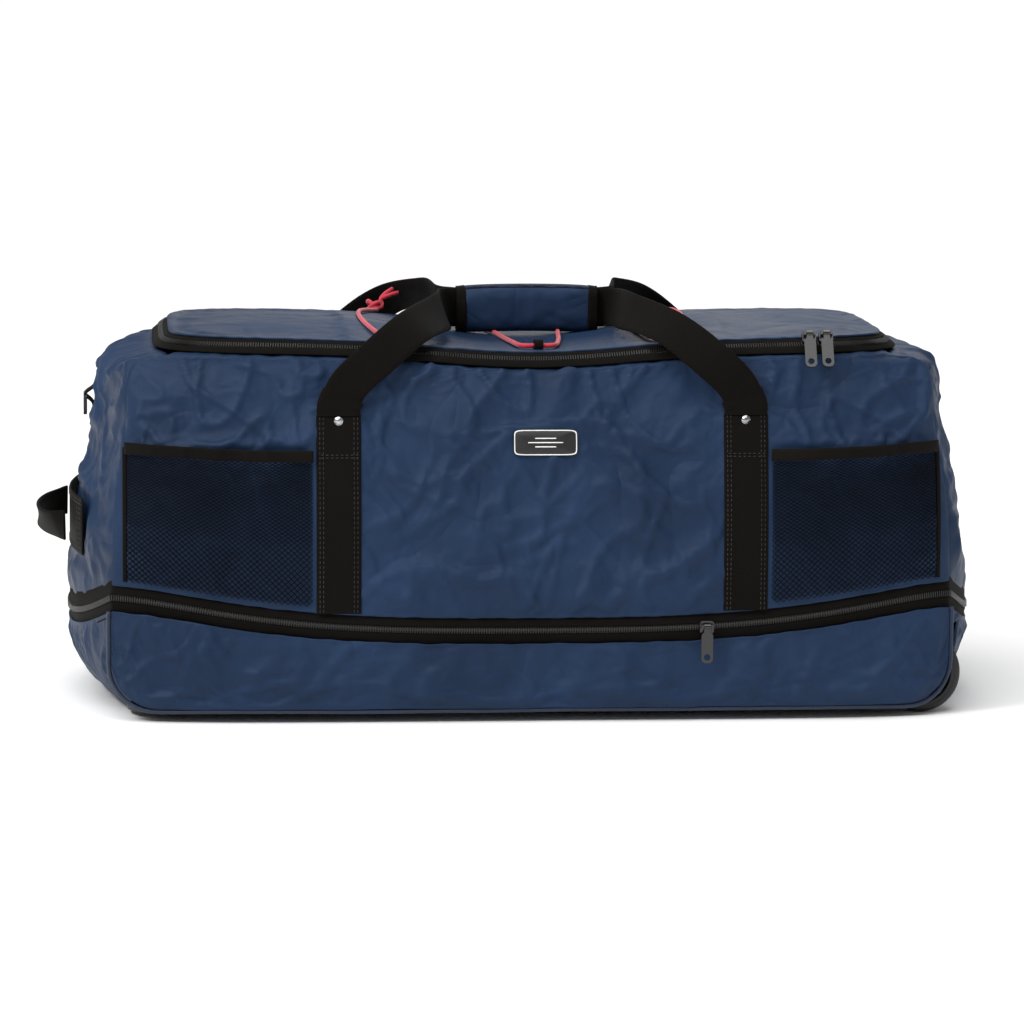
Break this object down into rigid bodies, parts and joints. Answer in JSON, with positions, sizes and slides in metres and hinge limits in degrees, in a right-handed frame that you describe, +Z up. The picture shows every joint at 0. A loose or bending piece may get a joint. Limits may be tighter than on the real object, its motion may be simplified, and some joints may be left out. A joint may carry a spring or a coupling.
{
  "type": "wheeled duffel bag",
  "caption": "Long soft duffel bag with two wheels at one end, an expander zip round its base, mesh front pockets, a zipped lid and joined web handles.",
  "frame": {"origin": "middle of the base, on the floor, on the underside of the middle skid", "axes": "+X to the wheeled end, +Y to the back, +Z up; the mesh pockets are at -Y"},
  "size_m": [0.8225, 0.3871, 0.358],
  "materials": {
    "navy_nylon": "coated nylon, fine plain weave, satin",
    "navy_piping": "nylon over cord, satin",
    "black_webbing": "ribbed polypropylene webbing, matte",
    "black_tape": "woven tape, matte",
    "zip_coil": "nylon coil, satin",
    "zip_metal": "black enamel, glossy",
    "pocket_mesh": "diamond mesh over navy, matte",
    "black_plastic": "moulded, matte",
    "wheel_tyre": "polyurethane, satin",
    "wheel_hub": "moulded nylon, satin",
    "steel": "nickel plated",
    "red_cord": "braided elastic cord"
  },
  "bodies": {
    "base": {"bottom_plate": "black_plastic", "base_board": "black_plastic", "skid_front": "black_plastic", "skid_middle": "black_plastic", "skid_back": "black_plastic", "front_lower_panel": "navy_nylon", "back_lower_panel": "navy_nylon", "left_lower_panel": "navy_nylon", "right_lower_panel": "navy_nylon", "front_piping": "navy_piping", "back_piping": "navy_piping", "belt_lower_tape": "black_tape", "belt_zip_coil": "zip_coil", "front_wheel_housing": "black_plastic", "back_wheel_housing": "black_plastic", "front_axle": "steel", "back_axle": "steel"},
    "front_wheel": {"front_wheel_tyre": "wheel_tyre", "front_wheel_hub": "wheel_hub"},
    "back_wheel": {"back_wheel_tyre": "wheel_tyre", "back_wheel_hub": "wheel_hub"},
    "belt_slider": {"belt_slider": "zip_metal"},
    "belt_pull": {"belt_pull": "zip_metal"},
    "upper": {"belt_upper_tape": "black_tape", "expansion_skirt": "navy_nylon", "front_panel": "navy_nylon", "back_panel": "navy_nylon", "left_end_panel": "navy_nylon", "right_end_panel": "navy_nylon", "lid_zip": "black_tape", "front_left_strap": "black_webbing", "front_right_strap": "black_webbing", "back_left_strap": "black_webbing", "back_right_strap": "black_webbing", "front_left_rivet": "steel", "front_right_rivet": "steel", "back_left_rivet": "steel", "back_right_rivet": "steel", "left_mesh_pocket": "pocket_mesh", "right_mesh_pocket": "pocket_mesh", "left_pocket_binding": "black_tape", "right_pocket_binding": "black_tape", "badge": "black_plastic", "end_band": "black_webbing", "ring_tab": "black_webbing"},
    "haul_handle": {"haul_handle": "black_webbing"},
    "shoulder_ring": {"shoulder_ring": "black_plastic"},
    "lid_left_slider": {"lid_left_slider": "zip_metal"},
    "lid_left_pull": {"lid_left_pull": "zip_metal"},
    "lid_right_slider": {"lid_right_slider": "zip_metal"},
    "lid_right_pull": {"lid_right_pull": "zip_metal"},
    "lid": {"lid_panel": "navy_nylon", "bungee_cord": "red_cord", "cord_loop_1": "black_webbing", "cord_loop_2": "black_webbing", "cord_loop_3": "black_webbing"},
    "front_handle": {"front_handle": "black_webbing", "front_grip_wrap": "navy_nylon"},
    "back_handle": {"back_handle": "black_webbing", "back_grip_wrap": "navy_nylon"}
  },
  "joints": [
    {"name": "front_wheel_spin", "type": "hinge", "parent": "base", "child": "front_wheel", "pos_m": [0.337, -0.146, 0.035], "axis": [0, 1, 0], "continuous": true},
    {"name": "back_wheel_spin", "type": "hinge", "parent": "base", "child": "back_wheel", "pos_m": [0.337, 0.146, 0.035], "axis": [0, 1, 0], "continuous": true},
    {"name": "expander", "type": "slide", "parent": "base", "child": "upper", "axis": [0, 0, 1], "range_m": [0, 0.05]},
    {"name": "belt_slider_run", "type": "slide", "parent": "base", "child": "belt_slider", "axis": [1, 0, 0], "range_m": [-0.19, 0]},
    {"name": "belt_pull_swing", "type": "hinge", "parent": "belt_slider", "child": "belt_pull", "pos_m": [0.146, -0.1962, 0.0826], "axis": [-1, 0, 0], "range_deg": [0, 110]},
    {"name": "lid_left_slider_run", "type": "slide", "parent": "upper", "child": "lid_left_slider", "axis": [1, 0, 0], "range_m": [-0.03, 0]},
    {"name": "lid_left_pull_swing", "type": "hinge", "parent": "lid_left_slider", "child": "lid_left_pull", "pos_m": [0.236, -0.15456, 0.3293], "axis": [-1, 0, 0], "range_deg": [0, 110]},
    {"name": "lid_right_slider_run", "type": "slide", "parent": "upper", "child": "lid_right_slider", "axis": [1, 0, 0], "range_m": [0, 0.012]},
    {"name": "lid_right_pull_swing", "type": "hinge", "parent": "lid_right_slider", "child": "lid_right_pull", "pos_m": [0.251, -0.15224, 0.3294], "axis": [-1, 0, 0], "range_deg": [0, 110]},
    {"name": "haul_handle_swing", "type": "hinge", "parent": "upper", "child": "haul_handle", "pos_m": [-0.407, 0, 0.157], "axis": [0, 1, 0], "range_deg": [-35, 35]},
    {"name": "shoulder_ring_swing", "type": "hinge", "parent": "upper", "child": "shoulder_ring", "pos_m": [-0.3825, 0, 0.2625], "axis": [0, 1, 0], "range_deg": [0, 120]},
    {"name": "front_handle_swing", "type": "hinge", "parent": "upper", "child": "front_handle", "pos_m": [0, -0.1775, 0.264], "axis": [1, 0, 0], "range_deg": [0, 168]},
    {"name": "back_handle_swing", "type": "hinge", "parent": "upper", "child": "back_handle", "pos_m": [0, 0.1775, 0.264], "axis": [-1, 0, 0], "range_deg": [0, 168]},
    {"name": "lid_open", "type": "hinge", "parent": "upper", "child": "lid", "pos_m": [0, 0.1395, 0.3225], "axis": [-1, 0, 0], "range_deg": [0, 50.4]}
  ],
  "couplings": [
    {"joint": "back_handle_swing", "follows": "front_handle_swing", "ratio": 1},
    {"joint": "lid_open", "follows": "front_handle_swing", "ratio": 0.3}
  ]
}
